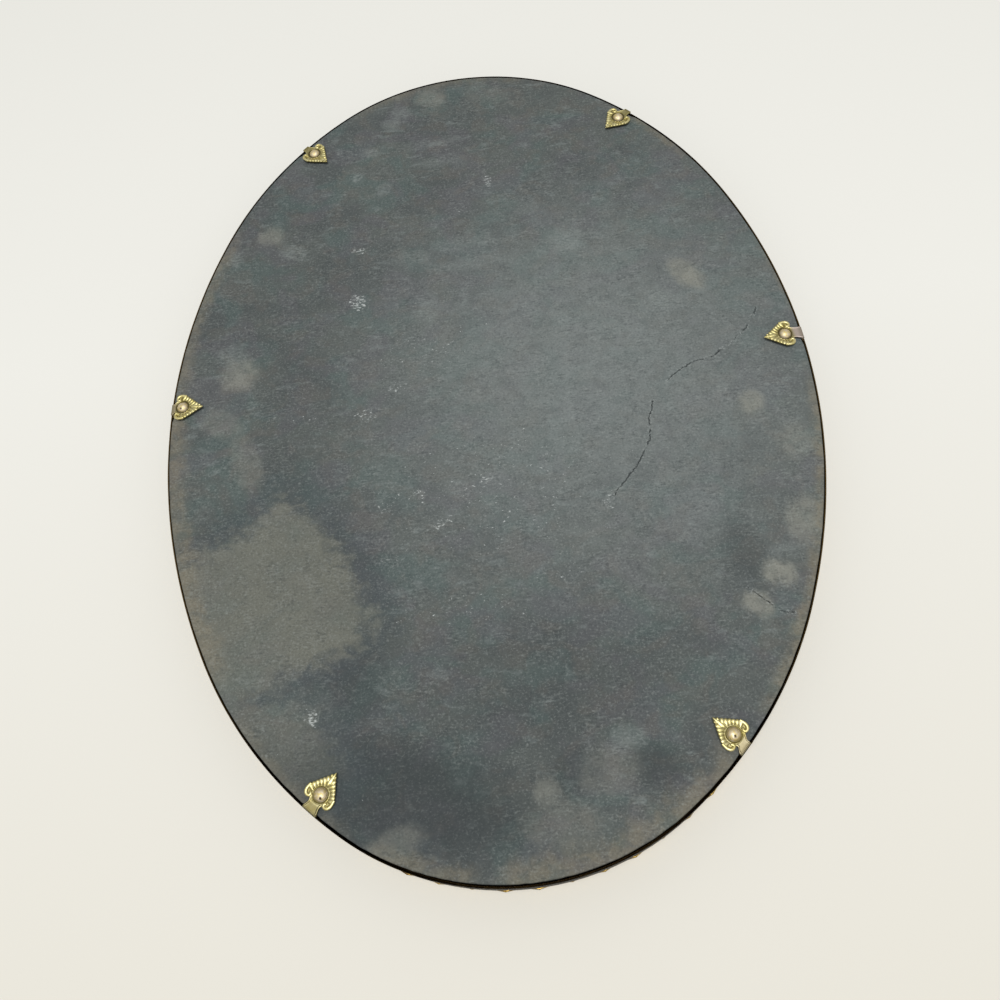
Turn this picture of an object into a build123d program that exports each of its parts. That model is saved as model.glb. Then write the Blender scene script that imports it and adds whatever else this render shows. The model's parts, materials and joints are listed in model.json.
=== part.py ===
from build123d import *
from math import cos, radians, sin
import os

# Oval picture frame of stamped brass, lying face down: front at z = 0, back up, long axis along Y.

# Board outline: an oval of eight arcs, and all rings are offsets of it
board_length = 300.0
board_width = 214.0
side_radius_share = 0.964      # side arc's radius against that of an ellipse
side_angle = 23.5              # outline normal where the side arc ends, degrees from X
shoulder_angle = 53.4          # outline normal where the shoulder arc ends

# Stack of sheets, from the front
glass_thickness = 2.0
mat_thickness = 1.2
print_thickness = 0.4
filler_thickness = 0.9
board_thickness = 2.5
sheet_clearance = 0.3          # sheets in front of the board are cut this much smaller than it
mat_border = 40.0              # from the board's outline to the mat's window

# Front moulding, a hollow stamping; insets run inwards from the board's outline
moulding_sheet = 0.9
seat_height = 7.0              # where the glass rests
skirt_height = 5.0             # lower edge of the upright outer skirt
land_inset = 11.0              # outer edge of the flat crest
land_width = 3.0
sight_inset = 24.0
flange_width = 4.0
cove_depth_share = 0.16        # hollow of the cove against its chord

# Beaded edge soldered inside the sight opening
bead_width = 2.0
bead_height = 1.8

# Leaf border soldered on the moulding's outer slope
border_thickness = 1.2
border_inset = 7.0
border_root_inset = 1.5        # where neighbouring leaves part
border_reach = 0.5             # longest leaf tip beyond the rim band
border_leaf_radius = 5.0
border_leaves_per_quarter = 22
leaf_reach_shares = (1.0, 0.8, 0.45)

# Rim band that stands round the board, with room inside it for the clips' straps
rim_wall = 0.35
rim_set_down = 0.2             # the band's edge below the board's face
strap_clearance = 0.05         # between the board's edge and a strap
solder_film = 0.1
stacking_gap = 0.2             # between the moulding or its border and what stands above it

# Clip foot, a flat strap with a wide pad soldered inside the rim band
foot_thickness = 0.4
foot_width = 5.0
pad_width = 6.6
pad_height = 3.4

# Clip leaf, a palmette with a round root on its fold
leaf_sheet = 0.5
root_radius = 0.5              # outside of the fold's bend
leaf_lift = 3.5                # the leaf's slope away from the board, degrees
hinge_gap = 0.1
tip_inset = 11.9
stud_inset = 4.5
neck_width = 3.1
waist_distance = 1.8           # narrowest place of the neck, from the fold
volute_radius = 1.25
volute_span = 9.7              # over both volutes
volute_setback = 1.2           # volutes nearer the fold than the stud
blade_width = 8.8
blade_setback = 0.6            # the blade's widest line, nearer the fold than the stud
blade_bulge_share = 0.06       # how far the blade's edge bows out against its chord
ring_outer_radius = 2.75
ring_inner_radius = 2.25
ring_height = 0.4

# Domed stud riveted through the leaf
stud_radius = 1.75
stud_height = 1.1
shank_radius = 0.8
rivet_gap = 0.02

# Places of the clips: the direction that the rim faces there, degrees from X
clip_bearings = {
    "top_left": 135.4,
    "top_right": 45.4,
    "right": 4.0,
    "bottom_right": -43.7,
    "bottom_left": -131.8,
    "left": 177.7,
}

# Levels and offsets that follow from these sizes
mat_level = seat_height + glass_thickness
print_level = mat_level + mat_thickness
filler_level = print_level + print_thickness
board_level = filler_level + filler_thickness
back_level = board_level + board_thickness
fold_offset = strap_clearance + foot_thickness / 2
fold_level = back_level + hinge_gap + root_radius
leaf_length = fold_offset + tip_inset
stud_distance = fold_offset + stud_inset


def oval_arcs():
    """Centre, radius, start angle and sweep of each arc of the board's outline, from the right side round."""
    half_width = board_width / 2
    half_length = board_length / 2
    side_radius = side_radius_share * half_length**2 / half_width
    c1, s1 = cos(radians(side_angle)), sin(radians(side_angle))
    c2, s2 = cos(radians(shoulder_angle)), sin(radians(shoulder_angle))
    # The end arc is centred on the long axis and reaches the end: two equations for two radii
    across = side_radius - half_width - side_radius * c1
    along = half_length - side_radius * s1
    determinant = (c2 - c1) * (1 - s2) + c2 * (s2 - s1)
    shoulder_radius = (across * (1 - s2) + c2 * along) / determinant
    end_radius = ((c2 - c1) * along - (s2 - s1) * across) / determinant
    side_x = half_width - side_radius
    shoulder_x = side_x + (side_radius - shoulder_radius) * c1
    shoulder_y = (side_radius - shoulder_radius) * s1
    end_y = half_length - end_radius
    shoulder_sweep = shoulder_angle - side_angle
    end_sweep = 180 - 2 * shoulder_angle
    return [
        ((side_x, 0), side_radius, -side_angle, 2 * side_angle),
        ((shoulder_x, shoulder_y), shoulder_radius, side_angle, shoulder_sweep),
        ((0, end_y), end_radius, shoulder_angle, end_sweep),
        ((-shoulder_x, shoulder_y), shoulder_radius, 180 - shoulder_angle, shoulder_sweep),
        ((-side_x, 0), side_radius, 180 - side_angle, 2 * side_angle),
        ((-shoulder_x, -shoulder_y), shoulder_radius, 180 + side_angle, shoulder_sweep),
        ((0, -end_y), end_radius, 180 + shoulder_angle, end_sweep),
        ((shoulder_x, -shoulder_y), shoulder_radius, 360 - shoulder_angle, shoulder_sweep),
    ]


ARCS = oval_arcs()

# The band's inner face clears the ends of the flat pads by the solder's film
tightest_radius = min(radius for centre, radius, start, sweep in ARCS)
pad_sagitta = pad_width**2 / (8 * tightest_radius)
rim_gap = strap_clearance + foot_thickness + pad_sagitta + solder_film
rim_outer = rim_gap + rim_wall


def outline_point(bearing, offset):
    """Point at an offset from the board's outline, where the outline faces the bearing."""
    for (x, y), radius, start, sweep in ARCS:
        if (bearing - start) % 360 <= sweep:
            reach = radius + offset
            return Vector(x + reach * cos(radians(bearing)), y + reach * sin(radians(bearing)))


def quarter_bearings(count):
    """Bearings of evenly spaced places along the first quarter of the outline."""
    spans = [(ARCS[0][1], 0, side_angle), ARCS[1][1:], (ARCS[2][1], shoulder_angle, 90 - shoulder_angle)]
    total = sum(radius * radians(sweep) for radius, start, sweep in spans)
    bearings = []
    for index in range(count):
        length = total * (index + 1 / 2) / count
        for radius, start, sweep in spans:
            if length <= radius * radians(sweep):
                bearings.append(start + length / radians(radius))
                break
            length -= radius * radians(sweep)
    return bearings


def oval_face(offset):
    arcs = [CenterArc(centre, radius + offset, start, sweep) for centre, radius, start, sweep in ARCS]
    return make_face(Curve() + arcs)


def oval_plate(offset, level, thickness):
    return Pos(0, 0, level) * extrude(oval_face(offset), thickness)


def oval_ring(section):
    """Sweeps a section round the outline; its X is the offset from the outline and its Y the height."""
    pieces = []
    for (x, y), radius, start, sweep in ARCS:
        outward = Vector(cos(radians(start)), sin(radians(start)))
        plane = Plane(Vector(x, y) + outward * radius, x_dir=outward, z_dir=(outward.Y, -outward.X, 0))
        pieces.append(revolve(plane * section, Axis((x, y, 0), (0, 0, 1)), sweep))
    return pieces[0].fuse(*pieces[1:]).clean()


def box_section(inner, outer, bottom, top):
    corners = [(inner, bottom), (outer, bottom), (outer, top), (inner, top)]
    return make_face(Polyline(*corners, close=True))


def slope_height(offset):
    """Front face of the moulding's outer slope, from the crest up to the skirt."""
    return (offset + land_inset) * skirt_height / (land_inset + rim_gap)


def make_front_moulding():
    inner_skirt = rim_gap - moulding_sheet
    cove_start = (-land_inset - land_width, 0)
    lip = (-sight_inset, seat_height - moulding_sheet)
    chord = Vector(*lip) - Vector(*cove_start)
    cove_middle = (Vector(*lip) + Vector(*cove_start)) / 2 + Vector(chord.Y, -chord.X) * cove_depth_share
    front = Polyline(
        (inner_skirt, slope_height(inner_skirt) + moulding_sheet),
        (inner_skirt, seat_height),
        (rim_gap, seat_height),
        (rim_gap, skirt_height),
        (-land_inset, 0),
        cove_start,
    )
    cove = ThreePointArc(cove_start, cove_middle, lip)
    back = Polyline(
        lip,
        (-sight_inset, seat_height),
        (flange_width - sight_inset, seat_height),
        (moulding_sheet - land_inset - land_width, moulding_sheet),
        (-land_inset, moulding_sheet),
        (inner_skirt, slope_height(inner_skirt) + moulding_sheet),
    )
    return oval_ring(make_face(front + cove + back))


def make_sight_bead():
    """Half-round moulding whose flat sides meet the lip and the glass."""
    inner = -sight_inset - bead_width
    bottom = seat_height - bead_height
    middle_share = 1 - sin(radians(45))
    edges = Polyline((inner, seat_height), (-sight_inset, seat_height), (-sight_inset, bottom))
    round_middle = (inner + bead_width * middle_share, bottom + bead_height * middle_share)
    return oval_ring(make_face(edges + ThreePointArc((-sight_inset, bottom), round_middle, (inner, seat_height))))


def make_leaf_border():
    """Sloping ring cut to the outline of its leaves, which lie alike in all four quarters."""
    outer = rim_outer + border_reach
    back = [(-border_inset, slope_height(-border_inset)), (outer, slope_height(outer))]
    front = [(offset, height - border_thickness) for offset, height in reversed(back)]
    blank = oval_ring(make_face(Polyline(*back, *front, close=True)))
    leaves = [oval_face(-border_root_inset)]
    for index, bearing in enumerate(quarter_bearings(border_leaves_per_quarter)):
        reach = rim_outer + border_reach * leaf_reach_shares[index % len(leaf_reach_shares)]
        for place in (bearing, 180 - bearing, 180 + bearing, 360 - bearing):
            leaves.append(Pos(outline_point(place, reach - border_leaf_radius)) * Circle(border_leaf_radius))
    outline = leaves[0].fuse(*leaves[1:]).clean()
    return blank & extrude(outline, back_level)


def clip_plane(bearing):
    """Frame on the fold's axis: X runs inwards over the board, Y along the fold, Z away from the board."""
    inward = Vector(-cos(radians(bearing)), -sin(radians(bearing)))
    fold = outline_point(bearing, fold_offset) + Vector(0, 0, fold_level)
    return Plane(fold, x_dir=inward, z_dir=(0, 0, 1))


def make_clip_foot():
    """Strap inside the rim band, from the moulding's skirt up to the round root of the leaf."""
    top = -root_radius - hinge_gap
    bottom = seat_height + stacking_gap - fold_level
    strap = Pos(0, 0, bottom) * Box(
        foot_thickness, foot_width, top - bottom, align=(Align.CENTER, Align.CENTER, Align.MIN)
    )
    pad = Pos(0, 0, bottom) * Box(
        foot_thickness, pad_width, pad_height, align=(Align.CENTER, Align.CENTER, Align.MIN)
    )
    return strap + pad


def make_leaf_outline():
    """Palmette outline: flared neck, two volutes and a pointed blade."""
    blade_x = stud_distance - blade_setback
    side = blade_width / 2
    half_chord = Vector(leaf_length - blade_x, side)
    bulge = Vector(half_chord.Y, half_chord.X) * blade_bulge_share
    middle = Vector((blade_x + leaf_length) / 2, side / 2) + bulge
    upper = ThreePointArc((blade_x, side), middle, (leaf_length, 0))
    lower = ThreePointArc((leaf_length, 0), (middle.X, -middle.Y), (blade_x, -side))
    blade = make_face(upper + lower + Line((blade_x, -side), (blade_x, side)))
    flare = [(0, foot_width / 2), (waist_distance, neck_width / 2), (stud_distance, neck_width / 2)]
    neck = make_face(Polyline(*flare, *[(x, -y) for x, y in reversed(flare)], close=True))
    outline = blade + neck
    for sign in (1, -1):
        volute_y = sign * (volute_span / 2 - volute_radius)
        outline += Pos(stud_distance - volute_setback, volute_y) * Circle(volute_radius)
    return outline


def make_clip_leaf():
    """Leaf plate with a round root on the fold and a raised ring round the stud's hole."""
    plate_level = root_radius - leaf_sheet
    plate = Pos(0, 0, plate_level) * extrude(make_leaf_outline(), leaf_sheet)
    root = Rot(90, 0, 0) * Cylinder(root_radius, foot_width)
    ring = Circle(ring_outer_radius) - Circle(ring_inner_radius)
    raised = Pos(stud_distance, 0, root_radius) * extrude(ring, ring_height)
    hole = Pos(stud_distance, 0, plate_level) * Cylinder(shank_radius + rivet_gap, 2 * leaf_sheet)
    return Rot(0, -leaf_lift, 0) * (plate + root + raised - hole)


def make_clip_stud():
    """Domed rivet, its shank flush under the leaf."""
    upright = (Align.CENTER, Align.CENTER, Align.MIN)
    dome_radius = (stud_radius**2 + stud_height**2) / (2 * stud_height)
    dome = Pos(0, 0, root_radius + stud_height - dome_radius) * Sphere(dome_radius)
    cap = Pos(0, 0, root_radius) * Cylinder(stud_radius, stud_height, align=upright)
    shank = Pos(0, 0, root_radius - leaf_sheet) * Cylinder(shank_radius, leaf_sheet, align=upright)
    return Rot(0, -leaf_lift, 0) * (Pos(stud_distance, 0, 0) * (dome & cap) + Pos(stud_distance, 0, 0) * shank)


rim_bottom = slope_height(rim_outer) + stacking_gap
window = oval_plate(-mat_border, mat_level, mat_thickness)
nodes = {
    "front_moulding": make_front_moulding(),
    "sight_bead": make_sight_bead(),
    "leaf_border": make_leaf_border(),
    "rim_band": oval_ring(box_section(rim_gap, rim_outer, rim_bottom, back_level - rim_set_down)),
    "glass_pane": oval_plate(-sheet_clearance, seat_height, glass_thickness),
    "picture_mat": oval_plate(-sheet_clearance, mat_level, mat_thickness) - window,
    "picture_print": oval_plate(-sheet_clearance, print_level, print_thickness),
    "filler_card": oval_plate(-sheet_clearance, filler_level, filler_thickness),
    "backing_board": oval_plate(0, board_level, board_thickness),
}
clip_pieces = {"clip_foot": make_clip_foot(), "clip_leaf": make_clip_leaf(), "clip_stud": make_clip_stud()}
for place, bearing in clip_bearings.items():
    for piece, solid in clip_pieces.items():
        nodes[f"{piece}_{place}"] = clip_plane(bearing).location * solid

os.makedirs("parts", exist_ok=True)
for name, solid in nodes.items():
    export_step(solid, f"parts/{name}.step")
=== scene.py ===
import json
from collections import namedtuple
from math import atan2, cos, hypot, pi, radians, sin

import bpy
import numpy as np
from mathutils import Matrix, Vector, noise


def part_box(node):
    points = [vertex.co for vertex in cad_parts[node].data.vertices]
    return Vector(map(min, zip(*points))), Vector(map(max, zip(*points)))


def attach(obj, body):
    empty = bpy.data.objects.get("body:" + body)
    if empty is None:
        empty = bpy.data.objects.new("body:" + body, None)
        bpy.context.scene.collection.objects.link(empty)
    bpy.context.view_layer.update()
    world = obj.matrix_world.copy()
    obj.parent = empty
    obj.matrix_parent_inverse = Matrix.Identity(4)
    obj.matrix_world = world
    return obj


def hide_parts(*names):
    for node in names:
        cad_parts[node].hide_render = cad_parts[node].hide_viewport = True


# An oval picture frame of stamped brass lies on its face: its pulpboard back and six clips show.
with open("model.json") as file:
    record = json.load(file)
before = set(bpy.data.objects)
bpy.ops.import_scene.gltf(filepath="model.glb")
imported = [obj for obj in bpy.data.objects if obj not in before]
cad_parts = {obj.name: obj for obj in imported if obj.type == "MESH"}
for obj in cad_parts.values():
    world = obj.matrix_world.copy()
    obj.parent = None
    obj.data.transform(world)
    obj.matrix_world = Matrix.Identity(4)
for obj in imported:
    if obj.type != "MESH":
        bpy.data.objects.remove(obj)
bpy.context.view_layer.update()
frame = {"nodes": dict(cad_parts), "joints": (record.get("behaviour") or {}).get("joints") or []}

# Front moulding: the frame's face, one hollow stamping of brass sheet, gilt and lacquered.
# A flat crest lies on the table, a cove falls to the sight opening and a slope rises to a skirt.
# Every ring of the frame keeps its distance from the board's outline, an oval of eight arcs.
MM = 0.001
half_width, half_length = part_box("backing_board")[1].xy
side_radius_share = 0.964
side_angle = radians(23.5)
shoulder_angle = radians(53.4)
seat_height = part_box("front_moulding")[1].z
rim_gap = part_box("front_moulding")[1].x - half_width
moulding_sheet = 0.9 * MM
skirt_height = 5.0 * MM
land_inset = 11.0 * MM
land_width = 3.0 * MM
sight_inset = 24.0 * MM
flange_width = 4.0 * MM
cove_depth_share = 0.16
cove_steps = 10
ring_steps = 480


def oval_radii():
    """Radii of the side, shoulder and end arcs, which meet without a corner and reach the board's end."""
    side = side_radius_share * half_length**2 / half_width
    c1, s1 = cos(side_angle), sin(side_angle)
    c2, s2 = cos(shoulder_angle), sin(shoulder_angle)
    across = side - half_width - side * c1
    along = half_length - side * s1
    determinant = (c2 - c1) * (1 - s2) + c2 * (s2 - s1)
    shoulder = (across * (1 - s2) + c2 * along) / determinant
    end = ((c2 - c1) * along - (s2 - s1) * across) / determinant
    return side, shoulder, end


side_radius, shoulder_radius, end_radius = oval_radii()


def oval_point(bearing, offset, height=0.0):
    """Place at an offset from the board's outline, where the outline faces the bearing."""
    folded = atan2(abs(sin(bearing)), abs(cos(bearing)))
    if folded <= side_angle:
        x, y, radius = half_width - side_radius, 0, side_radius
    elif folded <= shoulder_angle:
        x = half_width - side_radius + (side_radius - shoulder_radius) * cos(side_angle)
        y = (side_radius - shoulder_radius) * sin(side_angle)
        radius = shoulder_radius
    else:
        x, y, radius = 0, half_length - end_radius, end_radius
    x += (radius + offset) * cos(folded)
    y += (radius + offset) * sin(folded)
    return Vector((x if cos(bearing) >= 0 else -x, y if sin(bearing) >= 0 else -y, height))


def spin_section(section, steps, weld):
    """Closed section of (radius, height) points spun once round Z, its doubled points welded."""
    bpy.ops.object.select_all(action="DESELECT")
    bpy.ops.mesh.primitive_circle_add(vertices=len(section))
    spun = bpy.context.object
    for vertex, (radius, height) in zip(spun.data.vertices, section):
        vertex.co = (radius, 0, height)
    bpy.ops.object.mode_set(mode="EDIT")
    bpy.ops.mesh.select_all(action="SELECT")
    bpy.ops.mesh.spin(steps=steps, angle=2 * pi, center=(0, 0, 0), axis=(0, 0, 1))
    bpy.ops.mesh.select_all(action="SELECT")
    bpy.ops.mesh.remove_doubles(threshold=weld)
    bpy.ops.mesh.dissolve_degenerate(threshold=weld)
    bpy.ops.mesh.normals_make_consistent(inside=False)
    bpy.ops.object.mode_set(mode="OBJECT")
    return spun


def sweep_section(name, section, rounding):
    """Ring that carries a closed section of (offset, height) points round the oval, its corners rounded."""
    around = [(half_width + offset, height) for offset, height in section]
    ring = spin_section(around, ring_steps, weld=0.001 * MM)
    ring.name = name
    for vertex in ring.data.vertices:
        x, y, height = vertex.co
        vertex.co = oval_point(atan2(y, x), hypot(x, y) - half_width, height)
    bpy.ops.object.modifier_add(type="BEVEL")
    ring.modifiers["Bevel"].width = rounding
    ring.modifiers["Bevel"].segments = 3
    ring.modifiers["Bevel"].angle_limit = radians(25)
    bpy.ops.object.modifier_apply(modifier="Bevel")
    bpy.ops.object.shade_smooth_by_angle(angle=radians(40))
    return ring


def slope_height(offset):
    """Front face of the moulding's outer slope, from the crest up to the skirt."""
    return (offset + land_inset) * skirt_height / (land_inset + rim_gap)


inner_skirt = rim_gap - moulding_sheet
cove_start = Vector((-land_inset - land_width, 0))
lip = Vector((-sight_inset, seat_height - moulding_sheet))
chord = lip - cove_start
hollow = Vector((chord.y, -chord.x)) * cove_depth_share
cove_shares = [step / cove_steps for step in range(1, cove_steps)]
moulding_section = [
    (inner_skirt, seat_height),
    (rim_gap, seat_height),
    (rim_gap, skirt_height),
    (-land_inset, 0),
    cove_start,
    *[cove_start + chord * share + hollow * 4 * share * (1 - share) for share in cove_shares],
    lip,
    (-sight_inset, seat_height),
    (flange_width - sight_inset, seat_height),
    (moulding_sheet - land_inset - land_width, moulding_sheet),
    (-land_inset, moulding_sheet),
    (inner_skirt, slope_height(inner_skirt) + moulding_sheet),
]
front_moulding = sweep_section("gilt_front_moulding", moulding_section, rounding=0.25 * MM)


def srgb(code):
    """Linear colour of an sRGB hex value."""
    shares = [int(code[place : place + 2], 16) / 255 for place in (1, 3, 5)]
    return *[s / 12.92 if s <= 0.04045 else ((s + 0.055) / 1.055) ** 2.4 for s in shares], 1.0


def add_node(finish, kind, inputs=None, output=0, **settings):
    """Adds a node with its settings and links, or sets the surface shader, and gives one of its outputs."""
    nodes = finish.node_tree.nodes
    made = nodes["Principled BSDF"] if kind == "BsdfPrincipled" else nodes.new("ShaderNode" + kind)
    for key, value in settings.items():
        setattr(made, key, value)
    for key, value in (inputs or {}).items():
        if isinstance(value, bpy.types.NodeSocket):
            finish.node_tree.links.new(value, made.inputs[key])
        else:
            made.inputs[key].default_value = value
    return made.outputs[output]


def new_finish(name):
    """A new material, and the place on a piece in its own metres, which the patterns follow."""
    finish = bpy.data.materials.new(name)
    finish.use_nodes = True
    return finish, add_node(finish, "TexCoord", output="Object")


# Inputs of a MapRange node are 0 its value, 1 and 2 the range of that, 3 and 4 the range that it goes to.
# Inputs of a Mix node with these settings are 0 the share, 6 the lower colour and 7 the upper one.
tint = {"data_type": "RGBA", "output": 2}


def dress(piece, body, slot, material, *nodes):
    """Gives a new piece its finish, hides the nodes that it stands for and sets what it moves with."""
    piece.data.materials.clear()
    piece.data.materials.append(material)
    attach(piece, body)
    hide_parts(*nodes)


# Gilt brass under old lacquer: warm gold where it is whole, brown where it has tarnished in patches of
# about a centimetre, with a fine rub that breaks up its gloss. The back edges were never gilt and are brown.
gilt_brass, place = new_finish("Gilt lacquered brass")
tarnish = add_node(gilt_brass, "TexNoise", {"Vector": place, "Scale": 1 / (9 * MM), "Detail": 6})
tarnished = add_node(gilt_brass, "MapRange", {0: tarnish, 1: 0.42, 2: 0.66})
gilt_colour = add_node(gilt_brass, "Mix", {0: tarnished, 6: srgb("#c8a95f"), 7: srgb("#7d6130")}, **tint)
height = add_node(gilt_brass, "SeparateXYZ", {0: place}, output="Z")
bare_back = add_node(
    gilt_brass, "MapRange", {0: height, 1: seat_height - 0.5 * MM, 2: seat_height - 0.2 * MM}
)
gilt_colour = add_node(gilt_brass, "Mix", {0: bare_back, 6: gilt_colour, 7: srgb("#1c1409")}, **tint)
rub = add_node(gilt_brass, "TexNoise", {"Vector": place, "Scale": 1 / (0.6 * MM), "Detail": 3})
gilt_gloss = add_node(gilt_brass, "MapRange", {0: rub, 1: 0.3, 2: 0.7, 3: 0.22, 4: 0.42})
gilt_bump = add_node(gilt_brass, "Bump", {"Height": rub, "Strength": 0.15, "Distance": 0.04 * MM})
add_node(
    gilt_brass,
    "BsdfPrincipled",
    {"Base Color": gilt_colour, "Metallic": 1.0, "Roughness": gilt_gloss, "Normal": gilt_bump},
)
dress(front_moulding, "frame", "gilt_brass", gilt_brass, "front_moulding")

# Sight edge: a string of small beads pressed from one brass strip and soldered inside the lip, where it
# frames the glass. The strip is bent to the oval, with a bead every 1.9 mm.
bead_width = 2.0 * MM
bead_height = 1.8 * MM
bead_pitch = 1.9 * MM
bead_shares = (0.95, 0.93)
strip_share = 0.35
strip_front_shares = (0.9, 0.7)
oval_arcs = [
    (side_radius, 0, side_angle),
    (shoulder_radius, side_angle, shoulder_angle),
    (end_radius, shoulder_angle, pi / 2),
]


def oval_bearings(count, offset):
    """Bearings of evenly spaced places round the oval at an offset, the first half a step off the side."""
    quarter = sum((radius + offset) * (end - start) for radius, start, end in oval_arcs)
    bearings = []
    for index in range(count // 4):
        length = quarter * (index + 0.5) / (count // 4)
        for radius, start, end in oval_arcs:
            reach = (radius + offset) * (end - start)
            if length <= reach:
                bearing = start + length / (radius + offset)
                bearings += [bearing, pi - bearing, pi + bearing, -bearing]
                break
            length -= reach
    return bearings


def oval_length(offset):
    """Length of the oval at an offset."""
    return 4 * sum(radius * (end - start) for radius, start, end in oval_arcs) + 2 * pi * offset


def outward_frame(bearing, offset, height, lean=0.0):
    """Matrix of a place on the oval: X outwards, leaning up by an angle, and Y along the outline."""
    return (
        Matrix.Translation(oval_point(bearing, offset, height))
        @ Matrix.Rotation(bearing, 4, "Z")
        @ Matrix.Rotation(-lean, 4, "Y")
    )


def join_copies(name, model, matrices):
    """One piece of copies of a model, each with its own mesh, and the model itself removed."""
    bpy.ops.object.select_all(action="DESELECT")
    for matrix in matrices:
        copy = model.copy()
        copy.data = model.data.copy()
        copy.matrix_world = matrix
        bpy.context.collection.objects.link(copy)
        copy.select_set(True)
    bpy.context.view_layer.objects.active = copy
    bpy.ops.object.join()
    bpy.ops.object.transform_apply(location=True, rotation=True, scale=True)
    piece = bpy.context.object
    piece.name = name
    bpy.data.objects.remove(model)
    return piece


bead_offset = -sight_inset - bead_width / 2
bead_level = seat_height - bead_height / 2
bpy.ops.object.select_all(action="DESELECT")
bpy.ops.mesh.primitive_uv_sphere_add(segments=10, ring_count=6, radius=bead_width / 2)
bead = bpy.context.object
bead.data.transform(Matrix.Diagonal((*bead_shares, bead_height / bead_width, 1)))
bpy.ops.object.shade_smooth()
bead_count = 4 * round(oval_length(bead_offset) / bead_pitch / 4)
bead_places = [outward_frame(b, bead_offset, bead_level) for b in oval_bearings(bead_count, bead_offset)]
beads = join_copies("sight_beads", bead, bead_places)
strip_front, strip_inner_front = (seat_height - bead_height * share for share in strip_front_shares)
strip_section = [
    (-sight_inset - bead_width * strip_share, seat_height),
    (-sight_inset, seat_height),
    (-sight_inset, strip_front),
    (-sight_inset - bead_width * strip_share, strip_inner_front),
]
bead_strip = sweep_section("bead_strip", strip_section, rounding=0.1 * MM)
dress(beads, "frame", "gilt_brass", gilt_brass, "sight_bead")
dress(bead_strip, "frame", "gilt_brass", gilt_brass, "sight_bead")

# Leaf border: a stamped brass ring of overlapping acanthus leaves, soldered on the moulding's slope.
# Each leaf has a midrib and scalloped lobes, and long, middling and short tips follow each other.
# From behind only the tips show, past the rim.
border_inset = 7.0 * MM
border_reach = 0.5 * MM
border_leaves = 88
leaf_reach_shares = (1.0, 0.8, 0.45)
leaf_overlap = 0.52
leaf_trim = 0.97
leaf_sheet = 0.35 * MM
leaf_relief = 0.55 * MM
lobe_count = 7
lobe_depth = 0.09
root_width = 0.55
root_flare = 0.6
tip_power = 5
midrib_width = 0.22
midrib_share = 0.35
crown_share = 0.75
vein_level = 0.55
vein_depth = 0.25
vein_slant = 2.5
tip_thinning = 0.5
step_inset = 0.85 * border_inset
step_rise = 2.2 * leaf_sheet
rim_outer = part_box("rim_band")[1].x - half_width
longest_leaf = border_inset + rim_outer + border_reach
leaf_half_width = leaf_overlap * oval_length(0) / border_leaves
slope_angle = atan2(skirt_height, land_inset + rim_gap)

bpy.ops.object.select_all(action="DESELECT")
bpy.ops.mesh.primitive_grid_add(x_subdivisions=16, y_subdivisions=8, size=1)
leaf = bpy.context.object
for vertex in leaf.data.vertices:
    along = vertex.co.x + 0.5
    across = 2 * vertex.co.y
    lobes = 1 + lobe_depth * sin(along * lobe_count * pi)
    outline = lobes * min(1.0, root_width + root_flare * along) * max(0.0, 1 - along**tip_power) ** 0.5
    midrib = max(0.0, 1 - abs(across) / midrib_width)
    veins = vein_level + vein_depth * sin(along * lobe_count * pi - abs(across) * vein_slant)
    crown = (1 - across**2) * veins
    height = leaf_relief * (crown_share * crown + midrib_share * midrib) * (1 - tip_thinning * along**3)
    vertex.co = (along * longest_leaf, across * leaf_half_width * outline, -height - leaf_sheet)
bpy.ops.object.mode_set(mode="EDIT")
bpy.ops.mesh.select_all(action="SELECT")
bpy.ops.mesh.remove_doubles(threshold=0.005 * MM)
bpy.ops.mesh.flip_normals()
bpy.ops.object.mode_set(mode="OBJECT")
bpy.ops.object.modifier_add(type="SOLIDIFY")
leaf.modifiers["Solidify"].thickness = leaf_sheet
leaf.modifiers["Solidify"].offset = -1
bpy.ops.object.modifier_apply(modifier="Solidify")
bpy.ops.object.shade_smooth()

leaf_places = []
for index, bearing in enumerate(oval_bearings(border_leaves, 0)):
    share = leaf_reach_shares[index // 4 % len(leaf_reach_shares)]
    length_share = (border_inset + rim_outer + border_reach * share) / longest_leaf
    root = outward_frame(bearing, -border_inset, slope_height(-border_inset), lean=slope_angle)
    leaf_places.append(root @ Matrix.Diagonal((length_share / cos(slope_angle) * leaf_trim, 1, 1, 1)))
leaf_border = join_copies("leaf_border_leaves", leaf, leaf_places)
dress(leaf_border, "frame", "gilt_brass", gilt_brass, "leaf_border")
band_section = [
    (-border_inset, slope_height(-border_inset)),
    (0, slope_height(0)),
    (0, slope_height(0) - leaf_sheet),
    (-step_inset, slope_height(-step_inset) - step_rise),
    (-border_inset, slope_height(-border_inset) - leaf_sheet),
]
border_band = sweep_section("leaf_border_band", band_section, rounding=0.1 * MM)
dress(border_band, "frame", "gilt_brass", gilt_brass, "leaf_border")

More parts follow.
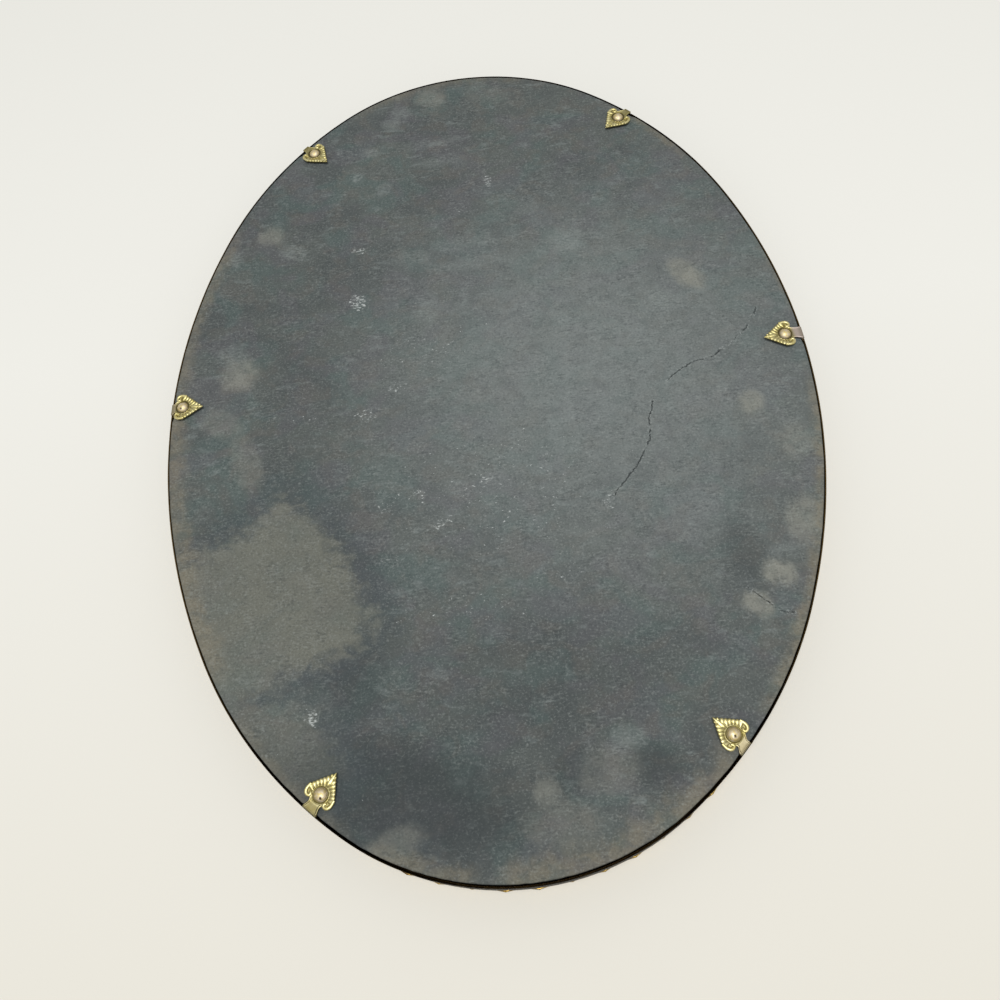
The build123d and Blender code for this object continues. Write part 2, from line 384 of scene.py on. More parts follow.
# Rim band: a strip of thin brass bent round the sheets and soldered upright on the skirt. Its back edge is
# dressed round, it waves a little as hand-bent strip does, and its patina has gone nearly black.
rim_wall = 0.35 * MM
rim_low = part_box("rim_band")[0].z
rim_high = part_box("rim_band")[1].z
rim_wave = 0.05 * MM
wave_size = 14 * MM
rim_section = [
    (rim_outer - rim_wall, rim_low),
    (rim_outer, rim_low),
    (rim_outer, (rim_low + rim_high) / 2),
    (rim_outer, rim_high),
    (rim_outer - rim_wall, rim_high),
    (rim_outer - rim_wall, (rim_low + rim_high) / 2),
]
rim_band = sweep_section("patinated_rim_band", rim_section, rounding=0.12 * MM)
for vertex in rim_band.data.vertices:
    wave = noise.noise(vertex.co / wave_size) * rim_wave * (vertex.co.z - rim_low) / (rim_high - rim_low)
    vertex.co += Vector((vertex.co.x, vertex.co.y, 0)).normalized() * min(wave, 0)

# Brass left to darken: a brown-black skin with olive where it is thinner. At the two sides the skin is
# painted lighter and tan, as a painted reflection of the bright glints along the rim's edge.
dark_brass, place = new_finish("Patinated rim brass")
patches = add_node(dark_brass, "TexNoise", {"Vector": place, "Scale": 1 / (6 * MM), "Detail": 5})
thin_skin = add_node(dark_brass, "MapRange", {0: patches, 1: 0.46, 2: 0.72})
skin = add_node(dark_brass, "Mix", {0: thin_skin, 6: srgb("#140e07"), 7: srgb("#2f2511")}, **tint)
across = add_node(dark_brass, "SeparateXYZ", {0: place}, output="X")
outwards = add_node(dark_brass, "Math", {0: across}, operation="ABSOLUTE")
# Painted reflection: the skin is lighter and tan at the two sides, in place of glints along the edge.
painted_side_glints = add_node(dark_brass, "MapRange", {0: outwards, 1: 74 * MM, 2: 102 * MM, 3: 0.0, 4: 0.75})
skin = add_node(dark_brass, "Mix", {0: painted_side_glints, 6: skin, 7: srgb("#75613a")}, **tint)
pits = add_node(dark_brass, "TexNoise", {"Vector": place, "Scale": 1 / (0.5 * MM), "Detail": 4})
rim_gloss = add_node(dark_brass, "MapRange", {0: pits, 1: 0.3, 2: 0.7, 3: 0.45, 4: 0.7})
rim_bump = add_node(dark_brass, "Bump", {"Height": pits, "Strength": 0.3, "Distance": 0.05 * MM})
add_node(
    dark_brass,
    "BsdfPrincipled",
    {"Base Color": skin, "Metallic": 1.0, "Roughness": rim_gloss, "Normal": rim_bump},
)
dress(rim_band, "frame", "dark_brass", dark_brass, "rim_band")

# Clip feet: six brass straps soldered upright inside the rim band, which carry the folds of the clips. They
# have darkened with the rim.
clip_joints = {joint["child"].removesuffix("_clip"): joint for joint in frame["joints"]}
for clip in clip_joints:
    frame["nodes"]["clip_foot_" + clip].material_slots[0].material = dark_brass

# Glass pane: a flat oval of drawn window glass, which rests on the moulding's flange under the other sheets.
# It is clear, a little green, and drawing has left faint waves in it.
window_glass, place = new_finish("Drawn window glass")
waves = add_node(window_glass, "TexNoise", {"Vector": place, "Scale": 1 / (30 * MM), "Detail": 1})
glass_bump = add_node(window_glass, "Bump", {"Height": waves, "Strength": 0.2, "Distance": 0.1 * MM})
add_node(
    window_glass,
    "BsdfPrincipled",
    {
        "Base Color": srgb("#eef5f0"),
        "Transmission Weight": 1.0,
        "Roughness": 0.02,
        "IOR": 1.52,
        "Normal": glass_bump,
    },
)
frame["nodes"]["glass_pane"].material_slots[0].material = window_glass

# Mat: an oval border of cream card, which lies between the glass and the picture. Its window is cut with a
# bevel that bares the card's core.
mat_border = 40.0 * MM
mat_bevel = 0.9 * MM
sheet_clearance = 0.3 * MM
mat_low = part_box("picture_mat")[0].z
mat_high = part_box("picture_mat")[1].z
mat_section = [
    (-mat_border, mat_high),
    (-mat_border + mat_bevel, mat_low),
    (-mat_border / 2, mat_low),
    (-sheet_clearance, mat_low),
    (-sheet_clearance, mat_high),
    (-mat_border / 2, mat_high),
]
picture_mat = sweep_section("cream_mat", mat_section, rounding=0.05 * MM)

# Cream card: soft, matt and slightly yellowed, with a fine tooth.
cream_card, place = new_finish("Cream mat card")
yellowing = add_node(cream_card, "TexNoise", {"Vector": place, "Scale": 1 / (25 * MM), "Detail": 4})
card_colour = add_node(cream_card, "Mix", {0: yellowing, 6: srgb("#e6dcc4"), 7: srgb("#d3c5a2")}, **tint)
tooth = add_node(cream_card, "TexNoise", {"Vector": place, "Scale": 1 / (0.4 * MM), "Detail": 3})
card_bump = add_node(cream_card, "Bump", {"Height": tooth, "Strength": 0.3, "Distance": 0.05 * MM})
add_node(cream_card, "BsdfPrincipled", {"Base Color": card_colour, "Roughness": 0.9, "Normal": card_bump})
dress(picture_mat, "frame", "mat_card", cream_card, "picture_mat")

# Picture: the place holds a bare sheet of old printing paper, cut to the oval and pressed against the mat.
# It is matt, has toned darker towards its edge and has brown spots of foxing.
toned_paper, place = new_finish("Toned printing paper")
oval_scale = (1 / half_width, 1 / half_length, 0)
oval_place = add_node(toned_paper, "Mapping", {"Vector": place, "Scale": oval_scale})
from_centre = add_node(toned_paper, "VectorMath", {0: oval_place}, output="Value", operation="LENGTH")
toning = add_node(toned_paper, "MapRange", {0: from_centre, 1: 0.15, 2: 0.75})
paper_colour = add_node(toned_paper, "Mix", {0: toning, 6: srgb("#d9cfb4"), 7: srgb("#a8977a")}, **tint)
foxing = add_node(toned_paper, "TexNoise", {"Vector": place, "Scale": 1 / (4 * MM), "Detail": 4})
foxed = add_node(toned_paper, "MapRange", {0: foxing, 1: 0.64, 2: 0.74, 3: 0.0, 4: 0.6})
paper_colour = add_node(toned_paper, "Mix", {0: foxed, 6: paper_colour, 7: srgb("#8a6a45")}, **tint)
add_node(toned_paper, "BsdfPrincipled", {"Base Color": paper_colour, "Roughness": 0.8})
frame["nodes"]["picture_print"].material_slots[0].material = toned_paper

# Filler card: a sheet of grey strawboard, cut to the oval. It packs the picture against the glass, and its
# short straws show as a light and dark mottle.
strawboard, place = new_finish("Grey strawboard")
straw = add_node(strawboard, "TexNoise", {"Vector": place, "Scale": 1 / (1.5 * MM), "Detail": 5})
straw_colour = add_node(strawboard, "Mix", {0: straw, 6: srgb("#8c877c"), 7: srgb("#b5aea0")}, **tint)
add_node(strawboard, "BsdfPrincipled", {"Base Color": straw_colour, "Roughness": 0.95})
frame["nodes"]["filler_card"].material_slots[0].material = strawboard

# Backing board: a thick sheet of black pulpboard cut to the oval, which closes the back. It has faded to
# slate, water has left tide lines and pale blots on it, and two creases have cracked its skin.
board_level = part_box("backing_board")[0].z
back_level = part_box("backing_board")[1].z
edge_rounding = 0.45 * MM
ring_spacing = 1.25 * MM
board_steps = 640
level_slack = 0.01 * MM
rag = 0.1 * MM
rag_pitch = 40
warp = 0.1 * MM
warp_size = 45
swelling = {"left": 0.55 * MM, "right": 0.42 * MM, "top": 0.48 * MM}
strap_reach = 2.65 * MM
strap_fade = 1.25

bpy.ops.object.select_all(action="DESELECT")
bpy.ops.mesh.primitive_circle_add(
    vertices=board_steps, radius=half_width, fill_type="NGON", location=(0, 0, board_level)
)
bpy.ops.object.transform_apply(location=True)
board = bpy.context.object
board.name = "stained_backing_board"
bpy.ops.object.mode_set(mode="EDIT")
bpy.ops.mesh.select_all(action="SELECT")
bpy.ops.mesh.extrude_region_move(TRANSFORM_OT_translate={"value": (0, 0, back_level - board_level)})
bpy.ops.mesh.bevel(offset=edge_rounding, segments=3, affect="EDGES")
bpy.ops.mesh.select_all(action="DESELECT")
bpy.ops.object.mode_set(mode="OBJECT")
for face in board.data.polygons:
    face.select = face.center.z > back_level - level_slack and face.normal.z > 0.9
bpy.ops.object.mode_set(mode="EDIT")
for _ in range(int((half_width - edge_rounding) / ring_spacing)):
    bpy.ops.mesh.inset(thickness=ring_spacing)
bpy.ops.mesh.merge(type="CENTER")
bpy.ops.mesh.select_all(action="SELECT")
bpy.ops.mesh.normals_make_consistent(inside=False)
bpy.ops.object.mode_set(mode="OBJECT")
folds = [Vector(joint["pos_m"]).xy for joint in clip_joints.values()]


def ramp(value, start, end):
    """Eased share from nought at the start to one at the end."""
    share = np.clip((value - start) / (end - start), 0, 1)
    return share * share * (3 - 2 * share)


def swollen_edge(bearing):
    """How far damp has swollen the board past its cut edge, less where a strap stands."""
    sideways = swelling["left" if cos(bearing) < 0 else "right"] * cos(bearing) ** 2
    lengthways = swelling["top"] * max(0, sin(bearing)) ** 2
    nearest = min((oval_point(bearing, 0).xy - fold).length for fold in folds)
    rough = rag * (noise.noise(Vector((cos(bearing), sin(bearing), 0)) * rag_pitch) - 1)
    return (sideways + lengthways) * ramp(nearest, strap_reach, strap_reach * strap_fade) + rough


edge_points = {}
for vertex in board.data.vertices:
    x, y, height = vertex.co
    bearing = round(atan2(y, x), 5)
    if bearing not in edge_points:
        edge_points[bearing] = oval_point(bearing, swollen_edge(bearing))
    vertex.co = edge_points[bearing] * (hypot(x, y) / half_width) + Vector((0, 0, height))

# Creases and a scratch, as points in millimetres on the board
upper_crease = [(94, 27), (90, 20), (85, 15), (81, 12), (76, 9), (69, 7), (65, 5), (60, 1)]
lower_crease = [(55, -5), (53, -11), (52, -19), (49, -25), (46, -29), (42, -34), (38, -39)]
scratch = [(74, -73), (78, -77), (81, -80), (86, -82)]
route_strengths = ((upper_crease, 0.9), (lower_crease, 1.0), (scratch, 0.5))
crease_reach = 2.2
crease_width = 0.3
crease_depth = 0.3 * MM
crease_cuts = 6
fray_width = 1.1


def board_places():
    """Millimetre places of the board's points."""
    flat = np.empty(len(board.data.vertices) * 3)
    board.data.vertices.foreach_get("co", flat)
    return flat.reshape(-1, 3)[:, :2] / MM


def route_distance(places, route):
    """Distance from each place to the nearest stretch of a route."""
    nearest = np.full(len(places), np.inf)
    for start, end in zip(np.array(route[:-1], float), np.array(route[1:], float)):
        run = end - start
        share = np.clip((places - start) @ run / (run @ run), 0, 1)
        nearest = np.minimum(nearest, np.linalg.norm(places - start - share[:, None] * run, axis=1))
    return nearest


centres = np.array([tuple(face.center.xy) for face in board.data.polygons]) / MM
bpy.ops.object.mode_set(mode="EDIT")
bpy.ops.mesh.select_all(action="DESELECT")
bpy.ops.object.mode_set(mode="OBJECT")
for route, share in route_strengths:
    for index in np.nonzero(route_distance(centres, route) < crease_reach)[0]:
        board.data.polygons[index].select = board.data.polygons[index].center.z > back_level - level_slack
bpy.ops.object.mode_set(mode="EDIT")
bpy.ops.mesh.subdivide(number_cuts=crease_cuts)
bpy.ops.object.mode_set(mode="OBJECT")


def ragged_noise(places, size, seed):
    """Smooth noise over the board, from minus one to one, with features of a size in millimetres."""
    return np.array([noise.noise(Vector((x / size, y / size, seed))) for x, y in places])


places = board_places()
meander = np.zeros_like(places)
for size, sway, seeds in ((3.5, 0.6, (1.7, 8.3)), (0.9, 0.3, (3.1, 5.9))):
    meander += np.stack([ragged_noise(places, size, seed) for seed in seeds], axis=1) * sway
broken = ragged_noise(places, 3.2, 4.4) + ragged_noise(places, 1.1, 7.7) * 0.6
crease = np.zeros(len(places))
fray = np.zeros(len(places))
for route, share in route_strengths:
    distance = route_distance(places + meander, route)
    width = crease_width * share * ramp(broken, -0.55, 0.2) + 0.01
    crease = np.maximum(crease, ramp(distance / width, 1.0, 0.3))
    fray = np.maximum(fray, ramp(distance / fray_width, 1.0, 0.2))
for vertex, depth, (x, y) in zip(board.data.vertices, crease, places):
    if vertex.co.z > board_level + edge_rounding:
        vertex.co.z -= crease_depth * depth
        vertex.co.z -= warp * (1 + noise.noise(Vector((x, y, 0)) / warp_size)) / 2

# Stains: x, y, half sizes, turn in degrees and strength of each
taupe_blots = [
    (-85, 20, 6.5, 6, 20, 0.75),
    (-76, 80, 4.6, 4.4, 0, 0.65),
    (8, 141, 9, 6, -30, 0.2),
    (-14, 142, 6, 5, 0, 0.45),
    (73, 44, 7.5, 4.4, -52, 0.95),
    (86, -10, 4.2, 4.4, 0, 0.8),
    (97, -25, 5.5, 6, 0, 0.4),
    (96, -53, 7, 7.5, 0, 0.7),
    (84, -69, 5.5, 3.4, -15, 1.0),
    (76, -78, 5, 3.4, -40, 0.85),
    (27, -123, 8.5, 6.5, 10, 0.35),
    (9, -127, 3.6, 3.4, 0, 0.5),
    (13, -136, 11, 6, 0, 0.3),
    (-34, -138, 9, 4, 20, 0.45),
    (-81, -14, 4.5, 12, 18, 0.38),
    (-90, 1, 8, 5, -25, 0.35),
    (-60, -101, 11, 9, 35, 0.1),
]
grey_blots = [
    (-88, 28, 5.5, 4.5, 0, 0.5),
    (-67, 71, 5.5, 3, -20, 0.55),
    (-89, 71, 3, 3.2, 0, 0.45),
    (-26, 135, 3.6, 3.6, 0, 0.5),
    (33, 64, 6.2, 5.4, 0, 0.75),
    (64, 34, 5.5, 4, 0, 0.5),
    (33, -114, 5.2, 3.3, 12, 0.6),
    (87, -62, 4.5, 2, 0, 0.5),
    (20, 81, 4, 3.5, 0, 0.35),
    (-12, 108, 9, 2.5, 5, 0.4),
    (-16, 118, 10, 2.0, 0, 0.3),
    (-24, 63, 8, 3.5, 0, 0.35),
    (-9, 67, 8, 3.0, 0, 0.3),
    (62, -49, 8, 9, 0, 0.3),
    (-38, 116, 4, 2, -10, 0.6),
    (-43, 104, 2.2, 2.2, 0, 0.45),
    (-33, 97, 2.4, 3.4, -40, 0.45),
    (-2, 58, 15, 2.4, 4, 0.5),
    (0, 68, 11, 2.2, -4, 0.4),
    (-18, 40, 4, 6, 0, 0.4),
    (-30, 130, 3.4, 3, 0, 0.55),
    (-96, 66, 3, 4, -20, 0.45),
]
# Damp clouds: real damp stains, and painted shade that darkens the lower end of the board.
damp_and_shade_clouds = [
    (-34, -125, 42, 17, -14, 0.9),
    (-48, -95, 12, 24, -20, 0.6),
    (-45, -62, 9, 32, 28, 0.4),
    (18, -122, 9, 7, 0, 0.7),
    (40, -122, 8, 7, 0, 0.7),
    (-10, -134, 22, 7, -8, 0.7),
    (75, -62, 6, 10, 0, 0.45),
    (-88, -37, 14, 6, 28, 0.35),
    (-62, 0, 14, 40, 10, 0.18),
    (-66, -26, 9, 9, 0, 0.3),
    (-75, 50, 30, 40, 0, 0.15),
    (5, -98, 50, 22, 0, 0.3),
    (-68, -114, 14, 12, 0, 0.45),
]
chalk_scuffs = [
    (-57, -101, 2.8, 3.2, 0, 1.0),
    (-43, 69, 5, 2, 0, 0.9),
    (-43, 46, 4, 4.5, 0, 1.0),
    (6, 96, 2.4, 3.6, 0, 0.9),
    (-37, 116, 3, 3.5, 0, 0.5),
    (-8, 84, 6, 3, 0, 0.5),
    (-22, 79, 6, 3, 20, 0.45),
    (-27, 62, 9, 4, 0, 0.4),
    (36, -41, 2.2, 4, 0, 0.82),
    (-34, -34, 8, 6, 0, 0.6),
    (-22, -21, 6, 5, 0, 0.55),
    (5, -33, 40, 30, 0, 0.55),
    (-10, -72, 30, 8, 0, 0.5),
    (20, -62, 12, 8, 0, 0.5),
    (64, 30, 6, 5, 0, 0.45),
    (-31, 9, 6, 4, 0, 0.72),
    (-40, -1, 5, 4, 0, 0.75),
    (-62, 0, 8, 3, 0, 0.6),
    (-20, 24, 26, 14, 0, 0.55),
    (-2, -29, 3, 3, 0, 0.8),
    (-17, -43, 6, 2, 20, 0.85),
    (-24, -32, 4, 3, 0, 0.75),
    (-33, -54, 5, 3, 0, 0.65),
]
# Stretches of worn edge: bearings of start and end in degrees, width in millimetres and strength of each
worn_edges = [
    (-188, -150, 7.5, 0.6),
    (-208, -180, 5.0, 0.5),
    (-150, -122, 3.0, 0.35),
    (-122, -96, 4.0, 0.5),
    (-96, -40, 6.5, 0.6),
    (-40, 2, 3.6, 0.7),
    (4, 18, 1.6, 0.4),
    (30, 49, 3.2, 0.6),
    (70, 125, 2.2, 0.4),
]
wear_fade = 6
# The edge of the large water stain, as points in millimetres
water_line = [
    (-104, -49), (-97, -46), (-88, -43), (-78, -38), (-70, -27), (-61, -33), (-51, -45), (-44, -57),
    (-37, -72), (-43, -81), (-54, -86), (-66, -89), (-72, -93), (-64, -96), (-56, -100), (-50, -108),
    (-48, -118), (-55, -128), (-90, -128), (-125, -60),
]
# A broad lighter zone over the board's middle: part dust and part painted sheen, where the light falls
# brightest.
dust_and_sheen_centre = (38, 8)
dust_and_sheen_reach = (105, 105)

fuzzy = ragged_noise(places, 4.0, 2.2) * 0.6 + ragged_noise(places, 1.6, 6.1) * 0.4


def blots(list_of_blots, softness, rag_share):
    """Strength of the strongest of some soft-edged blots at each point of the board."""
    strength = np.zeros(len(places))
    for x, y, half_x, half_y, turn, share in list_of_blots:
        reach = (places - (x, y)) @ np.array(Matrix.Rotation(radians(turn), 2))
        distance = np.hypot(reach[:, 0] / half_x, reach[:, 1] / half_y) + fuzzy * rag_share
        strength = np.maximum(strength, share * ramp(distance, 1 + softness, 1 - softness))
    return strength


def inside_line(outline):
    """Distance from an outline at each point of the board, positive inside it."""
    inside = np.zeros(len(places), bool)
    for start, end in zip(outline, outline[1:] + outline[:1]):
        crosses = (start[1] > places[:, 1]) != (end[1] > places[:, 1])
        rise = (places[:, 1] - start[1]) / ((end[1] - start[1]) or 1)
        inside ^= crosses & (places[:, 0] < start[0] + rise * (end[0] - start[0]))
    return route_distance(places, outline + outline[:1]) * np.where(inside, 1, -1)


bearings = np.degrees(np.arctan2(places[:, 1] / half_length**2, places[:, 0] / half_width**2))
from_centre = np.hypot(places[:, 0] * MM / half_width, places[:, 1] * MM / half_length)
edge_inset = half_width / MM * (1 - from_centre)
edge_wear = np.zeros(len(places))
for start, end, width, share in worn_edges:
    swing = (bearings - start) % 360
    run = (end - start) % 360
    along = ramp(swing, 0, wear_fade) * ramp(swing, run, run - wear_fade) * (swing < run)
    inwards = ramp(edge_inset + fuzzy * width * 0.5, width, width * 0.2)
    edge_wear = np.maximum(edge_wear, share * along * inwards)
dust_and_sheen_share = ramp(np.hypot(*((places - dust_and_sheen_centre) / dust_and_sheen_reach).T), 1.1, 0.0)

board_marks = {
    "water_line": inside_line(water_line),
    "taupe_blot": blots(taupe_blots, 0.35, 0.35),
    "grey_blot": blots(grey_blots, 0.4, 0.35),
    "damp_cloud": blots(damp_and_shade_clouds, 0.6, 0.3),
    "chalk_scuff": blots(chalk_scuffs, 0.7, 0.4),
    "worn_edge": edge_wear,
    "crease": crease,
    "fray": fray,
    "dust_and_sheen": dust_and_sheen_share,
}
for name, values in board_marks.items():
    board.data.attributes.new(name, "FLOAT", "POINT").data.foreach_set("value", values)
bpy.ops.object.select_all(action="DESELECT")
board.select_set(True)
bpy.context.view_layer.objects.active = board
bpy.ops.object.shade_smooth_by_angle(angle=radians(50))

# Black pulpboard: pressed waste fibre, dyed through and faded to a matt slate. Green, purple and brown
# clouds of a centimetre or two come through the dye, short fibres lie mostly across the sheet, and a little
# lint shows white.
pulpboard, place = new_finish("Faded black pulpboard")
patterns = {}
for name in board_marks:
    patterns[name] = add_node(pulpboard, "Attribute", output="Fac", attribute_name=name)
patterns["lengthwise"] = add_node(pulpboard, "SeparateXYZ", {0: place}, output="Y")

# Cloudy patterns: sizes of their features across and along the board in millimetres, and detail
pulp_clouds = {
    "clouds": (30, 24, 3),
    "green_clouds": (20, 15, 3),
    "purple_clouds": (18, 14, 3),
    "brown_clouds": (9, 7, 3),
    "mottle": (5, 4, 4),
    "smudges": (8, 3, 3),
    "fibres": (1.9, 0.65, 3),
    "hairs": (0.6, 1.8, 3),
    "grain": (0.7, 0.6, 2),
    "lint": (1.1, 0.6, 2),
    "felting": (9, 7, 2),
}
for seed, (name, (size_x, size_y, detail)) in enumerate(pulp_clouds.items()):
    fineness = (1 / (size_x * MM), 1 / (size_y * MM), 0)
    scaled = add_node(pulpboard, "Mapping", {"Vector": place, "Scale": fineness})
    inputs = {"Vector": scaled, "W": seed, "Scale": 1.0, "Detail": detail, "Distortion": 0.7}
    patterns[name] = add_node(pulpboard, "TexNoise", inputs, noise_dimensions="4D")

# Patterns worked out from others: one of them, its range, the range it goes to, and what joins it to another
worked_patterns = {
    "felted": ("felting", (0.42, 0.62), (0.15, 1.0)),
    "clear_of_damp_and_shade": ("damp_cloud", (0.2, 0.9), (1.0, 0.45)),
    "felted_clear_of_damp_and_shade": ("damp_cloud", (0.2, 0.9), (1.0, 0.45), "MULTIPLY", "felted"),
    "tide": ("mottle", (0.3, 0.7), (-3.0, 3.0), "ADD", "water_line"),
    "outside": ("tide", (-1, 5), (1.0, 0.0)),
    "faded_end": ("lengthwise", (-100 * MM, -80 * MM), (0.42, 1.0)),
    "stain": ("tide", (-4, 6), (0.0, 1.0), "MULTIPLY", "faded_end"),
    "fleck": ("chalk_scuff", (0.0, 1.0), (0.0, 0.19), "ADD", "lint"),
    "chalky": ("chalk_scuff", (0.6, 1.0), (0.0, 1.0)),
}
# Layers of colour from the dye up, each with the pattern that breaks it up, the range of that, the shares it
# gives and the pattern that it lies in. The flecks of lint and chalk are half a millimetre, drawn to show.
pulp_layers = [
    ("#5b605d", "clouds", (0.4, 0.6), (0.0, 1.0), None),
    ("#556663", "green_clouds", (0.48, 0.62), (0.0, 0.5), None),
    ("#5f5e62", "purple_clouds", (0.48, 0.62), (0.0, 0.5), None),
    ("#6a655e", "brown_clouds", (0.5, 0.64), (0.0, 0.3), None),
    # Painted sheen with dust: the middle of the board is painted lighter.
    ("#7f8583", "mottle", (0.35, 0.65), (0.64, 0.8), "dust_and_sheen"),
    ("#808886", "smudges", (0.58, 0.7), (0.0, 0.35), None),
    # Painted shade with damp: darker where the damp clouds lie, most at the board's lower end.
    ("#363c3d", "mottle", (0.35, 0.65), (0.65, 0.95), "damp_cloud"),
    ("#474f52", "tide", (-11, -1), (0.0, 0.5), "outside"),
    ("#717268", "green_clouds", (0.35, 0.65), (0.9, 0.66), "stain"),
    ("#8b8b81", "mottle", (0.35, 0.65), (0.6, 0.9), "taupe_blot"),
    ("#808784", "fibres", (0.38, 0.62), (0.45, 0.95), "grey_blot"),
    ("#827a67", "mottle", (0.35, 0.62), (0.45, 1.0), "worn_edge"),
    ("#3a4042", "mottle", (0.5, 0.34), (0.0, 0.08), None),
    ("#8d9392", "mottle", (0.5, 0.66), (0.0, 0.06), None),
    ("#363c3e", "fibres", (0.49, 0.33), (0.0, 0.34), "felted"),
    ("#a0a6a2", "fibres", (0.52, 0.68), (0.0, 0.2), "felted_clear_of_damp_and_shade"),
    ("#9aa09c", "hairs", (0.54, 0.7), (0.0, 0.13), "felted_clear_of_damp_and_shade"),
    ("#383e3f", "grain", (0.48, 0.3), (0.0, 0.32), None),
    ("#9ea39f", "grain", (0.53, 0.7), (0.0, 0.25), "clear_of_damp_and_shade"),
    ("#c2c7c4", "fleck", (0.75, 0.84), (0.0, 0.8), None),
    ("#b4b9b6", "lint", (0.45, 0.62), (0.0, 0.6), "chalky"),
    ("#a3a8a5", "grain", (0.5, 0.62), (0.0, 0.35), "fray"),
    # Dark creases: part the cracked skin, part painted shade in their grooves.
    ("#262b2d", "grain", (0.35, 0.6), (1.0, 0.7), "crease"),
]


def worked_share(pattern, span, shares, joining=None, other=None):
    """A pattern eased from its range to shares, and joined to another pattern where one is named."""
    inputs = {0: patterns[pattern], 1: span[0], 2: span[1], 3: shares[0], 4: shares[1]}
    share = add_node(pulpboard, "MapRange", inputs, interpolation_type="SMOOTHSTEP")
    if other:
        share = add_node(pulpboard, "Math", {0: share, 1: patterns[other]}, operation=joining)
    return share


for name, working in worked_patterns.items():
    patterns[name] = worked_share(*working)
slate = srgb("#535857")
for code, pattern, span, shares, lies_in in pulp_layers:
    share = worked_share(pattern, span, shares, "MULTIPLY", lies_in)
    slate = add_node(pulpboard, "Mix", {0: share, 6: slate, 7: srgb(code)}, **tint)
relief = add_node(pulpboard, "Math", {0: patterns["fibres"], 1: patterns["hairs"]}, operation="ADD")
relief = add_node(pulpboard, "Math", {0: relief, 1: patterns["grain"]}, operation="ADD")
board_bump = add_node(pulpboard, "Bump", {"Height": relief, "Strength": 0.28, "Distance": 0.1 * MM})
add_node(
    pulpboard,
    "BsdfPrincipled",
    {"Base Color": slate, "Roughness": 0.88, "Specular IOR Level": 0.3, "Normal": board_bump},
)
dress(board, "frame", "pulpboard", pulpboard, "backing_board")

# Clip leaves: six palmettes stamped from brass sheet, each bent over the board by its neck. Ribs slant out
# past a raised ring to a pointed tip, a scroll curls at each side, and the neck has raised edges.
# One is modelled in millimetres, X inwards from its fold, and copied to the six folds.
stud_distance = 5.35
leaf_tip = 12.75
plate_bottom = 0.02
plate_top = 0.45
fold_radius = 0.5
foot_half_width = 2.45
ring_radius = 2.5
ring_wire = 0.16
rib_count = 6
rib_half_width = 0.82
rib_height = 0.5
rib_middle = 0.72
rib_swell = 0.28
longest_rib = 2.6
first_rib_end = Vector((6.1, 4.75, plate_top))
last_rib_end = Vector((10.75, 1.45, plate_top))
first_rib_turn = radians(64)
last_rib_turn = radians(34)
tip_rib_root = Vector((10.5, 0.25, plate_top))
tip_rib_end = Vector((11.75, 0.8, plate_top))
tip_rib_half_width = 0.42
tip_rib_height = 0.45
spine_end = Vector((8.1, 0, plate_top))
spine_half_width = 0.85
spine_height = 0.55
scroll_rise = 0.1
scroll_wire = (0.42, 0.46, 0.5, 0.5, 0.47, 0.43, 0.38, 0.3)
neck_wire = (0.25, 0.26, 0.26, 0.26, 0.26, 0.2)
chisel_grid = 0.08
rib_top = plate_top + 0.42
hollow_depth = 0.4
ring_floor = ring_radius - 0.05
ring_grime_and_shade = 0.9
hollow_grime_and_shade = 0.45
blade_grime_and_shade = 0.2
foot_grime_and_shade = 0.25
blade_start = 2.4
grime_and_shade_fade = 1.2


def keep_flat(piece):
    """Cuts off what a raised form would push through the sheet's underside."""
    bpy.ops.object.mode_set(mode="EDIT")
    bpy.ops.mesh.select_all(action="SELECT")
    bpy.ops.mesh.bisect(plane_co=(0, 0, plate_bottom), plane_no=(0, 0, 1), use_fill=True, clear_inner=True)
    bpy.ops.object.mode_set(mode="OBJECT")
    return piece


def gadroon(root, end, half_width_mm, height):
    """One rounded rib from its root to its end, fuller towards the end."""
    run = end - root
    bpy.ops.mesh.primitive_uv_sphere_add(segments=24, ring_count=12)
    rib = bpy.context.object
    for vertex in rib.data.vertices:
        fullness = rib_middle + rib_swell * vertex.co.x
        vertex.co.y *= fullness * half_width_mm
        vertex.co.z *= fullness * height
        vertex.co.x *= run.length / 2
    rib.data.transform(Matrix.Rotation(atan2(run.y, run.x), 4, "Z"))
    rib.data.transform(Matrix.Translation((root + end) / 2))
    return keep_flat(rib)


def raised_line(points, radii):
    """A round raised line through points, swelling and thinning by its radii."""
    bpy.ops.curve.primitive_bezier_curve_add()
    line = bpy.context.object
    line.data.splines.clear()
    spline = line.data.splines.new("NURBS")
    spline.points.add(len(points) - 1)
    for point, position, radius in zip(spline.points, points, radii):
        point.co = (*position, 1)
        point.radius = radius
    spline.order_u = 3
    spline.use_endpoint_u = True
    spline.resolution_u = 8
    line.data.dimensions = "3D"
    line.data.bevel_depth = 1
    line.data.bevel_resolution = 4
    line.data.use_fill_caps = True
    bpy.ops.object.convert(target="MESH")
    return keep_flat(bpy.context.object)


